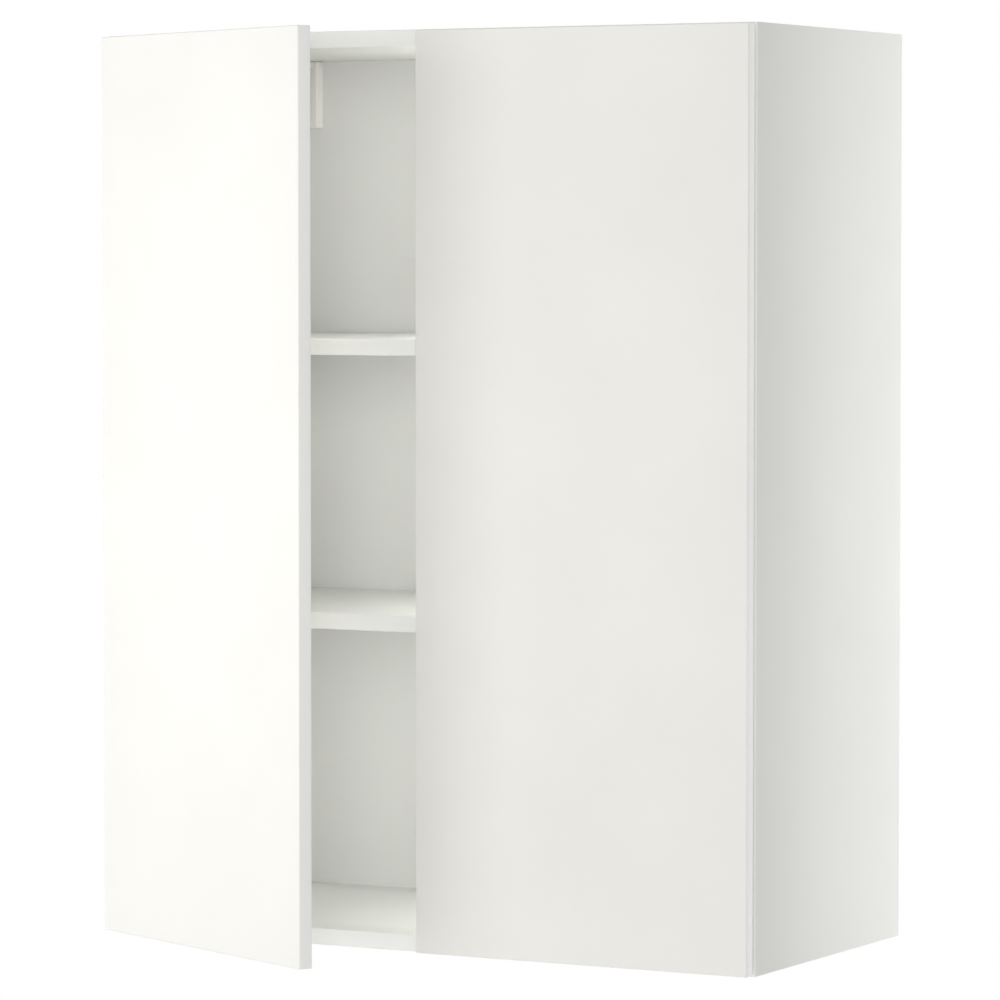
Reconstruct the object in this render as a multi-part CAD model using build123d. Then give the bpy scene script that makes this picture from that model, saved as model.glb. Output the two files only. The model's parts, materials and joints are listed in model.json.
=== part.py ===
from build123d import *
import os
from math import atan2, cos, degrees, hypot, radians, sin

# Hanging wall cabinet, millimetres.
# X runs to the right, Y towards the wall and Z up. The origin is on the wall plane, at the middle
# of the carcass's bottom edge, so the carcass fills Y from -carcass_depth to 0.

# ---------------------------------------------------------------- carcass
carcass_width = 800.0
carcass_depth = 370.0
carcass_height = 1000.0
panel_thickness = 18.0
edge_band = 1.0            # thickness of the banding glued on a front edge

back_thickness = 3.0
back_setback = 13.0        # from the wall plane to the back panel
groove_depth = 8.0
groove_clearance = 0.2     # spare width of the groove
back_end_clearance = 0.5   # spare length at each end of the back panel

# ---------------------------------------------------------------- shelves
upper_shelf_hole = 25       # which hole of the rows its pins use, counted from 0
lower_shelf_hole = 10
shelf_side_clearance = 1.0
shelf_back_clearance = 4.0

row_hole_radius = 2.5
row_hole_depth = 12.0
row_pitch = 20.0
row_setback = 37.0         # from the carcass front, and from the back panel
row_first = 145.0          # height of the lowest hole
row_top_inset = 155.0      # the highest hole is at least this far below the carcass top
row_hinge_gap = 30.0       # the front row is left out this near to a hinge
pin_fit = 0.05             # radial clearance of a shelf pin in its hole
pin_drop = 3.0             # from the shelf's underside to the pin's middle
pin_stud_length = 10.0
pin_seat_length = 9.0
pin_seat_width = 9.0
pin_seat_height = 7.0

# ---------------------------------------------------------------- corner joints
dowel_radius = 4.0
dowel_in_side = 10.0
dowel_in_panel = 20.0
bore_spare = 0.5           # a blind bore is this much deeper than what fills it
dowel_fit = 0.05
cam_radius = 7.5
cam_fit = 0.1
cam_pocket_depth = 12.5
cam_height = 11.0
cam_from_end = 34.0        # from the panel's end to the cam's middle
bolt_thread_radius = 3.5
bolt_thread_length = 11.0
bolt_shank_radius = 2.8
bolt_head_radius = 3.5
bolt_head_length = 4.0
bolt_bore_radius = 4.0
cap_radius = 8.5
cap_thickness = 1.2
cap_spigot = 1.2
bolt_setback = 60.0        # front cam bolt, from the carcass front
bolt_back_setback = 50.0   # rear cam bolt, from the back panel
cam_head_gap = 1.0         # from the cam's middle to the bolt's end
cam_slot_half = 0.7
cam_slot_reach = 4.5
cam_slot_depth = 1.6
dowel_from_bolt = 32.0

# ---------------------------------------------------------------- doors
door_thickness = 16.0
door_gap = 2.0             # between the carcass front and a closed door
door_margin = 1.5          # door edge in from the carcass's outside, and half the middle gap
door_edge_radius = 1.0
left_door_angle = 26.0     # the left door rests ajar
right_door_angle = 0.0

bumper_radius = 4.0
bumper_thickness = 1.6
bumper_inset = 14.0        # from the door's free edge to the bumper's middle

# ---------------------------------------------------------------- hinges
# Places are in a plan frame at the carcass's front outer corner: x runs inwards from the outside
# face, y back from the front plane, and the door is closed.
hinge_inset = 100.0        # outer hinges, from the carcass's bottom and top
cup_radius = 17.5
cup_from_edge = 22.5       # from the door's edge to the cup's middle
cup_bore_depth = 12.5
cup_fit = 0.1
cup_depth = 12.2
cup_wall = 1.0
cup_flange = 1.0
cup_flange_radius = 19.0
cup_flange_start = 6.5     # the flange stops this far in from the carcass's outside
cup_screw_offset = 9.5
cup_screw_spacing = 45.0
cup_screw_radius = 1.75
cup_screw_length = 10.0
cup_screw_head_radius = 3.6
cup_screw_head_height = 1.2
cup_ear_radius = 6.5
cup_ear_corner = 5.2

arm_pivot = (32.0, 4.5)    # link pin in the arm
cup_pivot_offset = 13.25   # link pin in the cup, from the cup's middle towards the door's edge
cup_pivot_depth = 6.5      # and below the door's inner face
link_turn = 0.25           # the link turns back this much for each degree the door opens
link_bend_steps = ((5.35, -2.9), (9.7, -2.4), (13.65, 1.0))  # bends, from the cup's link pin
link_thickness = 2.2
link_eye_radius = 2.0
link_half_width = 5.0
link_notch_half = 6.0      # half height of the notch that lets the link out of the cup
link_notch_depth = 5.5
link_notch_reach = 6.0     # from the cup's edge towards its middle
hinge_pin_radius = 1.0
hinge_pin_fit = 0.05
pin_end_gap = 0.1

plate_thickness = 2.5
plate_screw_spacing = 32.0
plate_wing_radius = 7.5
plate_wing_corner = 6.75
plate_block_corner = 2.0
plate_block_half = 6.8
plate_block_height = 7.5
plate_block_length = 40.0
plate_setback = 37.0
plate_screw_radius = 2.45
plate_screw_length = 11.0
plate_screw_head_radius = 4.0
plate_screw_head_height = 2.2

arm_wall = 1.2
arm_half = 8.4             # half the arm's height, outside
arm_height = 11.5          # from the side panel to the arm's web, outside
arm_lift = 3.0             # from the side panel to the arm's lower edge
arm_front = 14.0
arm_back = 62.0
arm_nose_radius = 3.0
arm_nose_web_start = 9.0
arm_screw_radius = 2.0
arm_screw_floor = 3.0      # from the side panel to the arm screws' tips
arm_screw_head_radius = 3.6
arm_screw_head_height = 1.6
arm_screw_back = 16.0      # fixing screw, behind the plate screws
arm_adjuster_front = 13.0  # adjusting screw, ahead of the plate screws

# ---------------------------------------------------------------- suspension fittings
bracket_thickness = 2.0
bracket_length = 66.0
bracket_drop = 24.0        # from the carcass's top to the bracket's
bracket_front = 27.0       # from the wall plane to the side flange's front edge
bracket_setback = 7.0      # from the wall plane to the rear plate
bracket_width = 44.0
bracket_corner_radius = 5.0
hanging_hole_radius = 4.25
hanging_hole_inset = 24.0  # from the side panel to the hanging hole
hanging_hole_drop = 55.0   # from the carcass's top to the hanging hole
bracket_screw_radius = 2.0
bracket_screw_length = 14.0
bracket_screw_head_radius = 3.8
bracket_screw_head_height = 1.6
bracket_screw_pitch = 21.0
bracket_screw_setback = 20.0
notch_clearance = 2.0

cover_width = 50.0
cover_height = 77.7
cover_depth = 13.0
cover_wall = 1.6
cover_edge_radius = 1.5
cover_top_clearance = 0.3

# ---------------------------------------------------------------- driver slots in screw heads
slot_half = 0.5
slot_reach = 2.2

# ---------------------------------------------------------------- worked out from the above
half_width = carcass_width / 2
inner_half = half_width - panel_thickness
back_front_face = -(back_setback + back_thickness)
front_core = -carcass_depth + edge_band
door_width = half_width - 2 * door_margin
door_height = carcass_height - 2 * door_margin
cup_centre = door_margin + cup_from_edge
door_back = -door_gap
bolt_places = (-carcass_depth + bolt_setback, back_front_face - bolt_back_setback)
dowel_places = (bolt_places[0] + dowel_from_bolt, bolt_places[1] - dowel_from_bolt)
joint_heights = (panel_thickness / 2, carcass_height - panel_thickness / 2)
row_places = (-carcass_depth + row_setback, back_front_face - row_setback)
row_count = int((carcass_height - row_top_inset - row_first) / row_pitch) + 1
hinge_heights = (hinge_inset, carcass_height / 2, carcass_height - hinge_inset)
cup_inner_radius = cup_radius - cup_fit - cup_wall
cup_pivot = (cup_centre - cup_pivot_offset, door_back - cup_pivot_depth)
link_bends = tuple((cup_pivot[0] + x, cup_pivot[1] + y) for x, y in link_bend_steps)
arm_screw_places = (plate_setback + arm_screw_back, plate_setback - arm_adjuster_front)
bracket_top = carcass_height - bracket_drop
bracket_bottom = bracket_top - bracket_length
bracket_middle = (bracket_top + bracket_bottom) / 2
bracket_screw_heights = tuple(bracket_middle + step * bracket_screw_pitch for step in (-1, 0, 1))
cover_top = carcass_height - panel_thickness - cover_top_clearance


def block(x0, x1, y0, y1, z0, z1):
    """A box between two corners."""
    return Pos(x0, y0, z0) * Box(x1 - x0, y1 - y0, z1 - z0, align=(Align.MIN,) * 3)


def rod_x(x0, x1, y, z, radius):
    """A round bar along X."""
    return Pos((x0 + x1) / 2, y, z) * Rot(0, 90, 0) * Cylinder(radius, abs(x1 - x0))


def rod_y(x, y0, y1, z, radius):
    """A round bar along Y."""
    return Pos(x, (y0 + y1) / 2, z) * Rot(90, 0, 0) * Cylinder(radius, abs(y1 - y0))


def rod_z(x, y, z0, z1, radius):
    """A round bar along Z."""
    return Pos(x, y, (z0 + z1) / 2) * Cylinder(radius, abs(z1 - z0))


def slots_x(x, y, z, depth):
    """A cross slot sunk from x towards the left, for a screw head that faces right."""
    flat = block(x - depth, x + 1, y - slot_reach, y + slot_reach, z - slot_half, z + slot_half)
    return [flat, block(x - depth, x + 1, y - slot_half, y + slot_half, z - slot_reach, z + slot_reach)]


def mirrored(shape):
    """The same piece on the other side of the cabinet."""
    return mirror(shape, about=Plane.YZ)


def save(name, shapes):
    """Writes one node, a single solid or a group of separate solids."""
    solids = []
    for shape in shapes:
        solids.extend(shape.solids())
    node = solids[0] if len(solids) == 1 else Compound(children=solids)
    node.label = name
    export_step(node, "parts/" + name + ".step")


# ---------------------------------------------------------------- carcass panels
def side_panel():
    """The left side panel."""
    panel = block(-half_width, -inner_half, front_core, 0, 0, carcass_height)
    groove_end = panel_thickness - groove_depth
    cuts = [
        block(
            -inner_half - groove_depth,
            -inner_half + 1,
            back_front_face - groove_clearance / 2,
            -back_setback + groove_clearance / 2,
            groove_end,
            carcass_height - groove_end,
        )
    ]
    for index in range(row_count):
        z = row_first + index * row_pitch
        near_hinge = min(abs(z - height) for height in hinge_heights) < row_hinge_gap
        for y in row_places:
            if y == row_places[0] and near_hinge:
                continue
            cuts.append(rod_x(-inner_half - row_hole_depth, -inner_half + 1, y, z, row_hole_radius))
    for z in joint_heights:
        for y in bolt_places:
            depth = bolt_thread_length + bore_spare
            cuts.append(rod_x(-inner_half - depth, -inner_half + 1, y, z, bolt_thread_radius))
        for y in dowel_places:
            depth = dowel_in_side + bore_spare
            cuts.append(rod_x(-inner_half - depth, -inner_half + 1, y, z, dowel_radius))
    for height in hinge_heights:
        for step in (-1, 1):
            z = height + step * plate_screw_spacing / 2
            y = -carcass_depth + plate_setback
            depth = plate_screw_length - plate_thickness + bore_spare
            cuts.append(rod_x(-inner_half - depth, -inner_half + 1, y, z, row_hole_radius))
    for z in bracket_screw_heights:
        depth = bracket_screw_length - bracket_thickness + bore_spare
        y = -bracket_screw_setback
        radius = bracket_screw_radius + pin_fit
        cuts.append(rod_x(-inner_half - depth, -inner_half + 1, y, z, radius))
    return panel - cuts


def end_panel(z0):
    """The top or bottom panel, with its cams in the upper face."""
    z1 = z0 + panel_thickness
    z = (z0 + z1) / 2
    panel = block(-inner_half, inner_half, front_core, 0, z0, z1)
    inside = z1 if z0 == 0 else z0
    groove_far = inside - groove_depth if z0 == 0 else inside + groove_depth
    inside_over = inside + 1 if z0 == 0 else inside - 1
    cuts = [
        block(
            -inner_half - 1,
            inner_half + 1,
            back_front_face - groove_clearance / 2,
            -back_setback + groove_clearance / 2,
            min(groove_far, inside_over),
            max(groove_far, inside_over),
        )
    ]
    for side in (-1, 1):
        end = side * inner_half
        for y in bolt_places:
            cam_x = end - side * cam_from_end
            cuts.append(rod_x(cam_x, end + side, y, z, bolt_bore_radius))
            cuts.append(rod_z(cam_x, y, z1 - cam_pocket_depth, z1 + 1, cam_radius))
        for y in dowel_places:
            depth = dowel_in_panel + bore_spare
            cuts.append(rod_x(end - side * depth, end + side, y, z, dowel_radius))
    return panel - cuts


def back_panel():
    """The thin back, held in grooves on four sides and notched for the suspension fittings."""
    reach = inner_half + groove_depth - back_end_clearance
    bottom = panel_thickness - groove_depth + back_end_clearance
    top = carcass_height - bottom
    panel = block(-reach, reach, back_front_face, -back_setback, bottom, top)
    notch_in = inner_half - bracket_width - notch_clearance
    notch_bottom = bracket_bottom - notch_clearance
    notch_top = bracket_top + notch_clearance
    cuts = []
    for side in (-1, 1):
        x0, x1 = sorted((side * notch_in, side * inner_half))
        cuts.append(block(x0, x1, back_front_face - 1, -back_setback + 1, notch_bottom, notch_top))
    return panel - cuts


def front_band(x0, x1, z0, z1):
    """Banding on a front edge."""
    return block(x0, x1, -carcass_depth, front_core, z0, z1)


def shelf_height(hole):
    """The top of a shelf whose pins stand in the given hole of the rows."""
    return row_first + hole * row_pitch + pin_drop + panel_thickness


def shelf(top):
    """A loose shelf."""
    reach = inner_half - shelf_side_clearance
    back = back_front_face - shelf_back_clearance
    return block(-reach, reach, front_core, back, top - panel_thickness, top)


def shelf_pins(top):
    """Four pins under one shelf."""
    underside = top - panel_thickness
    z = underside - pin_drop
    pins = []
    for y in row_places:
        stud_end = -inner_half - pin_stud_length
        stud = rod_x(stud_end, -inner_half, y, z, row_hole_radius - pin_fit)
        seat = block(
            -inner_half,
            -inner_half + pin_seat_length,
            y - pin_seat_width / 2,
            y + pin_seat_width / 2,
            underside - pin_seat_height,
            underside,
        )
        lower = seat.edges().sort_by(Axis.Z)[:4].filter_by(Axis.X)
        pins.append(stud + fillet(lower, pin_seat_width / 3))
    return pins + [mirrored(pin) for pin in pins]


# ---------------------------------------------------------------- corner joint hardware
def corner_hardware():
    """Dowels, cam bolts, cam locks and caps for the four corners."""
    dowels = []
    bolts = []
    cams = []
    caps = []
    for z in joint_heights:
        for y in dowel_places:
            start = -inner_half - dowel_in_side
            end = -inner_half + dowel_in_panel
            dowel = rod_x(start, end, y, z, dowel_radius - dowel_fit)
            dowels.append(chamfer(dowel.edges().filter_by(GeomType.CIRCLE), 1.0))
        for y in bolt_places:
            cam_x = -inner_half + cam_from_end
            head_end = cam_x - cam_head_gap
            head_start = head_end - bolt_head_length
            thread_start = -inner_half - bolt_thread_length
            bolt = rod_x(thread_start, -inner_half, y, z, bolt_thread_radius - pin_fit)
            bolt += rod_x(-inner_half, head_start, y, z, bolt_shank_radius)
            bolt += rod_x(head_start, head_end, y, z, bolt_head_radius)
            bolts.append(bolt)
            face = z + panel_thickness / 2
            floor = face - cam_pocket_depth
            cam = rod_z(cam_x, y, floor, floor + cam_height, cam_radius - cam_fit)
            cam -= rod_x(cam_x - cam_radius - 1, cam_x + 1, y, z, bolt_bore_radius)
            top = floor + cam_height
            for x_half, y_half in ((cam_slot_reach, cam_slot_half), (cam_slot_half, cam_slot_reach)):
                low = top - cam_slot_depth
                cam -= block(cam_x - x_half, cam_x + x_half, y - y_half, y + y_half, low, top + 1)
            cams.append(cam)
            cap = rod_z(cam_x, y, face, face + cap_thickness, cap_radius)
            cap = chamfer(cap.edges().sort_by(Axis.Z)[-1], cap_thickness / 2)
            caps.append(cap + rod_z(cam_x, y, face - cap_spigot, face, cam_radius - cam_fit))
    both = []
    for group in (dowels, bolts, cams, caps):
        both.append(group + [mirrored(piece) for piece in group])
    return both


# ---------------------------------------------------------------- suspension fittings
def suspension_bracket():
    """The left steel angle that the cabinet hangs by."""
    side = block(
        -inner_half,
        -inner_half + bracket_thickness,
        -bracket_front,
        -bracket_setback,
        bracket_bottom,
        bracket_top,
    )
    rear = block(
        -inner_half,
        -inner_half + bracket_width,
        -bracket_setback - bracket_thickness,
        -bracket_setback,
        bracket_bottom,
        bracket_top,
    )
    rear = fillet(rear.edges().filter_by(Axis.Y).sort_by(Axis.X)[-2:], bracket_corner_radius)
    hole_x = -inner_half + hanging_hole_inset
    bracket = side + rear
    hole_z = carcass_height - hanging_hole_drop
    bracket -= rod_y(hole_x, -bracket_setback - 5, 0, hole_z, hanging_hole_radius)
    for z in bracket_screw_heights:
        radius = bracket_screw_radius + pin_fit
        bracket -= rod_x(-inner_half - 1, -inner_half + 5, -bracket_screw_setback, z, radius)
    return bracket


def bracket_screws():
    """Screws that hold the left bracket to the side panel."""
    screws = []
    face = -inner_half + bracket_thickness
    for z in bracket_screw_heights:
        y = -bracket_screw_setback
        screw = rod_x(face - bracket_screw_length, face, y, z, bracket_screw_radius)
        screw += rod_x(face, face + bracket_screw_head_height, y, z, bracket_screw_head_radius)
        top = face + bracket_screw_head_height
        screws.append(screw - slots_x(top, y, z, bracket_screw_head_height / 2))
    return screws


def bracket_cover():
    """The plastic cover over the left bracket, open to the side panel and to the wall."""
    front = back_front_face - cover_depth
    bottom = cover_top - cover_height
    right = -inner_half + cover_width
    shell = block(-inner_half, right, front, back_front_face, bottom, cover_top)
    rounded = shell.edges().filter_by(Axis.Z).sort_by(Axis.Y)[:2].sort_by(Axis.X)[-1:]
    rounded += shell.edges().filter_by(Axis.X).sort_by(Axis.Y)[:2].sort_by(Axis.Z)[:1]
    shell = fillet(rounded, cover_edge_radius)
    hollow = block(
        -inner_half - 1,
        right - cover_wall,
        front + cover_wall,
        back_front_face + 1,
        bottom + cover_wall,
        cover_top - cover_wall,
    )
    return shell - hollow


# ---------------------------------------------------------------- doors and hinges
def turned(point, about, angle):
    """A plan point turned about another, anticlockwise seen from above."""
    dx = point[0] - about[0]
    dy = point[1] - about[1]
    c = cos(radians(angle))
    s = sin(radians(angle))
    return (about[0] + c * dx - s * dy, about[1] + s * dx + c * dy)


def link_motion(angle):
    """Moves a closed left link to where it is with the door open by angle."""
    x, y = arm_pivot
    return Pos(x, y, 0) * Rot(0, 0, link_turn * angle) * Pos(-x, -y, 0)


def door_motion(angle):
    """Moves a closed left door piece to where it is with the door open by angle."""
    x, y = turned(cup_pivot, arm_pivot, link_turn * angle)
    return Pos(x, y, 0) * Rot(0, 0, -angle) * Pos(-cup_pivot[0], -cup_pivot[1], 0)


def placed(shape, side):
    """From the plan frame of the left front corner to the cabinet, on either side."""
    shape = Pos(-half_width, -carcass_depth, 0) * shape
    return shape if side == "left" else mirrored(shape)


def door_panel():
    """A slab door with its cup and screw bores."""
    panel = block(
        door_margin,
        door_margin + door_width,
        door_back - door_thickness,
        door_back,
        door_margin,
        door_margin + door_height,
    )
    panel = fillet(panel.edges(), door_edge_radius)
    cuts = []
    for height in hinge_heights:
        floor = door_back - cup_bore_depth
        cuts.append(rod_y(cup_centre, floor, door_back + 1, height, cup_radius))
        for step in (-1, 1):
            x = cup_centre + cup_screw_offset
            z = height + step * cup_screw_spacing / 2
            floor = door_back - cup_screw_length - bore_spare
            cuts.append(rod_y(x, floor, door_back + 1, z, cup_screw_radius + pin_fit))
    return panel - cuts


def hinge_cup(z):
    """A pressed cup with its flange."""
    flange_top = door_back + cup_flange
    ear_x = cup_centre + cup_screw_offset
    half = cup_screw_spacing / 2
    flange = rod_y(cup_centre, door_back, flange_top, z, cup_flange_radius)
    ears = block(
        ear_x - cup_ear_radius,
        ear_x + cup_ear_radius,
        door_back,
        flange_top,
        z - half - cup_ear_radius,
        z + half + cup_ear_radius,
    )
    ears = fillet(ears.edges().filter_by(Axis.Y), cup_ear_corner)
    cup = flange + ears
    reach = cup_flange_radius + 1
    cup -= block(0, cup_flange_start, door_back - 1, flange_top + 1, z - reach, z + reach)
    cup += rod_y(cup_centre, door_back - cup_depth, door_back, z, cup_radius - cup_fit)
    floor = door_back - cup_depth + cup_wall
    cup -= rod_y(cup_centre, floor, flange_top + 1, z, cup_inner_radius)
    for step in (-1, 1):
        screw_z = z + step * half
        radius = cup_screw_radius + pin_fit
        cup -= rod_y(ear_x, door_back - 1, flange_top + 1, screw_z, radius)
    cup -= block(
        0,
        cup_centre - cup_radius + link_notch_reach,
        door_back - link_notch_depth,
        flange_top + 1,
        z - link_notch_half,
        z + link_notch_half,
    )
    return cup


def cup_pin(z):
    """The pin across the cup that the link turns on."""
    across = cup_pivot_offset + hinge_pin_radius
    half = (cup_inner_radius**2 - across**2) ** 0.5 - pin_end_gap
    return rod_z(cup_pivot[0], cup_pivot[1], z - half, z + half, hinge_pin_radius)


def cup_screw(z):
    """A pan-head screw in the cup's flange."""
    x = cup_centre + cup_screw_offset
    top = door_back + cup_flange
    head_top = top + cup_screw_head_height
    screw = rod_y(x, top - cup_screw_length, top, z, cup_screw_radius)
    screw += rod_y(x, top, head_top, z, cup_screw_head_radius)
    depth = cup_screw_head_height / 2
    for x_half, z_half in ((slot_reach, slot_half), (slot_half, slot_reach)):
        low = head_top - depth
        screw -= block(x - x_half, x + x_half, low, head_top + 1, z - z_half, z + z_half)
    return screw


def hinge_link(z):
    """The bent link between the arm and the cup, with an eye at each end."""
    path = (cup_pivot,) + link_bends + (arm_pivot,)
    outline = Sketch()
    for start, end in zip(path, path[1:]):
        length = hypot(end[0] - start[0], end[1] - start[1])
        angle = degrees(atan2(end[1] - start[1], end[0] - start[0]))
        middle = Pos((start[0] + end[0]) / 2, (start[1] + end[1]) / 2)
        outline += middle * Rot(0, 0, angle) * Rectangle(length, link_thickness)
    for bend in link_bends:
        outline += Pos(*bend) * Circle(link_thickness / 2)
    for pivot in (arm_pivot, cup_pivot):
        outline += Pos(*pivot) * Circle(link_eye_radius)
    for pivot in (arm_pivot, cup_pivot):
        outline -= Pos(*pivot) * Circle(hinge_pin_radius + hinge_pin_fit)
    return Pos(0, 0, z) * extrude(outline, link_half_width, both=True)


def hinge_plate(z):
    """The mounting plate on the side panel."""
    face = panel_thickness
    half = plate_screw_spacing / 2
    wings = block(
        face,
        face + plate_thickness,
        plate_setback - plate_wing_radius,
        plate_setback + plate_wing_radius,
        z - half - plate_wing_radius,
        z + half + plate_wing_radius,
    )
    wings = fillet(wings.edges().filter_by(Axis.X), plate_wing_corner)
    middle = block(
        face,
        face + plate_block_height,
        plate_setback - plate_block_length / 2,
        plate_setback + plate_block_length / 2,
        z - plate_block_half,
        z + plate_block_half,
    )
    middle = fillet(middle.edges().filter_by(Axis.X), plate_block_corner)
    plate = wings + middle
    for step in (-1, 1):
        screw_z = z + step * half
        radius = plate_screw_radius + pin_fit
        plate -= rod_x(face - 1, face + plate_thickness + 1, plate_setback, screw_z, radius)
    for y in arm_screw_places:
        floor = face + arm_screw_floor - bore_spare
        plate -= rod_x(floor, face + plate_block_height + 1, y, z, arm_screw_radius + pin_fit)
    return plate


def plate_screw(z):
    """A screw through the mounting plate into the side panel."""
    top = panel_thickness + plate_thickness
    head_top = top + plate_screw_head_height
    y = plate_setback
    screw = rod_x(top - plate_screw_length, top, y, z, plate_screw_radius)
    screw += rod_x(top, head_top, y, z, plate_screw_head_radius)
    return screw - slots_x(head_top, y, z, plate_screw_head_height / 2)


def hinge_arm(z):
    """The channel-shaped arm over the mounting plate, with ears for the link's pin."""
    low = panel_thickness + arm_lift
    high = panel_thickness + arm_height
    nose_x, nose_y = arm_pivot
    nose_out = nose_x + arm_nose_radius
    outline = Polygon(
        (low, arm_front),
        (low, arm_back),
        (high, arm_back),
        (high, arm_front + 5.0),
        (nose_out, nose_y + 3.0),
        (nose_out, nose_y),
        (nose_x - arm_nose_radius, nose_y),
        align=None,
    )
    outline += Pos(nose_x, nose_y) * Circle(arm_nose_radius)
    arm = extrude(outline, arm_half, both=True)
    hollow = Polygon(
        (low - 1.0, -5.0),
        (low - 1.0, arm_back + 1.0),
        (high - arm_wall, arm_back + 1.0),
        (high - arm_wall, arm_front + 4.6),
        (nose_out - arm_wall, nose_y + 4.2),
        (nose_out - arm_wall, arm_nose_web_start),
        (nose_out + 5.0, arm_nose_web_start),
        (nose_out + 5.0, -5.0),
        align=None,
    )
    arm -= extrude(hollow, arm_half - arm_wall, both=True)
    arm -= rod_z(nose_x, nose_y, -arm_half - 1, arm_half + 1, hinge_pin_radius + hinge_pin_fit)
    for y in arm_screw_places:
        arm -= rod_x(high - 3, high + 3, y, 0, arm_screw_radius + pin_fit)
    return Pos(0, 0, z) * arm


def arm_pin(z):
    """The pin across the arm's nose that the link turns on."""
    x, y = arm_pivot
    return rod_z(x, y, z - arm_half, z + arm_half, hinge_pin_radius)


def arm_screws(z):
    """The fixing screw and the adjusting screw of one arm."""
    high = panel_thickness + arm_height
    screws = []
    for y in arm_screw_places:
        head_top = high + arm_screw_head_height
        screw = rod_x(panel_thickness + arm_screw_floor, high, y, z, arm_screw_radius)
        screw += rod_x(high, head_top, y, z, arm_screw_head_radius)
        screws.append(screw - slots_x(head_top, y, z, arm_screw_head_height / 2))
    return screws


def door_bumpers():
    """Two soft stops on the door's inner face, opposite the top and bottom panels."""
    x = door_margin + door_width - bumper_inset
    bumpers = []
    for z in joint_heights:
        bumper = rod_y(x, door_back, door_back + bumper_thickness, z, bumper_radius)
        bumpers.append(fillet(bumper.edges().sort_by(Axis.Y)[-1], bumper_thickness / 3))
    return bumpers


os.makedirs("parts", exist_ok=True)

left_side = side_panel()
save("left_side_panel", [left_side])
save("right_side_panel", [mirrored(left_side)])
save("top_panel", [end_panel(carcass_height - panel_thickness)])
save("bottom_panel", [end_panel(0.0)])
save("back_panel", [back_panel()])

side_band = front_band(-half_width, -inner_half, 0, carcass_height)
save("side_edge_bands", [side_band, mirrored(side_band)])
top_underside = carcass_height - panel_thickness
save("top_edge_band", [front_band(-inner_half, inner_half, top_underside, carcass_height)])
save("bottom_edge_band", [front_band(-inner_half, inner_half, 0, panel_thickness)])

shelf_reach = inner_half - shelf_side_clearance
for shelf_name, shelf_hole in (("upper_shelf", upper_shelf_hole), ("lower_shelf", lower_shelf_hole)):
    shelf_top = shelf_height(shelf_hole)
    save(shelf_name, [shelf(shelf_top)])
    shelf_band = front_band(-shelf_reach, shelf_reach, shelf_top - panel_thickness, shelf_top)
    save(shelf_name + "_edge_band", [shelf_band])
    save(shelf_name + "_pins", shelf_pins(shelf_top))

all_dowels, all_bolts, all_cams, all_caps = corner_hardware()
save("dowels", all_dowels)
save("cam_bolts", all_bolts)
save("cam_locks", all_cams)
save("cam_caps", all_caps)

bracket = suspension_bracket()
save("left_suspension_bracket", [bracket])
save("right_suspension_bracket", [mirrored(bracket)])
screws = bracket_screws()
save("bracket_screws", screws + [mirrored(screw) for screw in screws])
cover = bracket_cover()
save("left_bracket_cover", [cover])
save("right_bracket_cover", [mirrored(cover)])

plates = []
plate_screws = []
arms = []
arm_pins = []
fixing_screws = []
for side in ("left", "right"):
    for height in hinge_heights:
        plates.append(placed(hinge_plate(height), side))
        for step in (-1, 1):
            screw_height = height + step * plate_screw_spacing / 2
            plate_screws.append(placed(plate_screw(screw_height), side))
        arms.append(placed(hinge_arm(height), side))
        arm_pins.append(placed(arm_pin(height), side))
        for screw in arm_screws(height):
            fixing_screws.append(placed(screw, side))
save("hinge_plates", plates)
save("hinge_plate_screws", plate_screws)
save("hinge_arms", arms)
save("hinge_arm_pins", arm_pins)
save("hinge_arm_screws", fixing_screws)

for side, angle in (("left", left_door_angle), ("right", right_door_angle)):
    door = door_motion(angle)
    link = link_motion(angle)
    save(side + "_door_panel", [placed(door * door_panel(), side)])
    save(side + "_hinge_cups", [placed(door * hinge_cup(z), side) for z in hinge_heights])
    save(side + "_cup_pins", [placed(door * cup_pin(z), side) for z in hinge_heights])
    cup_screws = []
    for height in hinge_heights:
        for step in (-1, 1):
            screw = cup_screw(height + step * cup_screw_spacing / 2)
            cup_screws.append(placed(door * screw, side))
    save(side + "_cup_screws", cup_screws)
    save(side + "_door_bumpers", [placed(door * bumper, side) for bumper in door_bumpers()])
    save(side + "_hinge_links", [placed(link * hinge_link(z), side) for z in hinge_heights])
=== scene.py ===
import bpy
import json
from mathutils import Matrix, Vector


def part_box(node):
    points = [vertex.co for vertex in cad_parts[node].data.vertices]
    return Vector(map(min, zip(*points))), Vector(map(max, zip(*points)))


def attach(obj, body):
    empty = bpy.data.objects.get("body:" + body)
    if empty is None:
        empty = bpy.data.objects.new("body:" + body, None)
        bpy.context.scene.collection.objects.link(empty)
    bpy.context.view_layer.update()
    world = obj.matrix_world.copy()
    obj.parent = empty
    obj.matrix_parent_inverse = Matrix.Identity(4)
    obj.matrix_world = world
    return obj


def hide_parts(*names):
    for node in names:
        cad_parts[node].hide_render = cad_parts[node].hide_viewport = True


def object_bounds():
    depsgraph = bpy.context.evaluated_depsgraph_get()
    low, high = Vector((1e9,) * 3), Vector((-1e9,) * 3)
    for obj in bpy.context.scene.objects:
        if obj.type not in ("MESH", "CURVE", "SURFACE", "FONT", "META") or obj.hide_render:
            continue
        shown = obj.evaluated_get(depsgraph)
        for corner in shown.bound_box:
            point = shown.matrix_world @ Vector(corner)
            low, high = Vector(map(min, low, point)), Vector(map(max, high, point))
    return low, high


bl_info = {
    "name": "Hanging Wall Cabinet",
    "version": (1, 0, 0),
    "blender": (4, 5, 0),
    "location": "View3D > Sidebar > Cabinet",
    "description": "Boards, doors, fittings and finishes of a two-door wall cabinet",
    "category": "Object",
}

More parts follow.
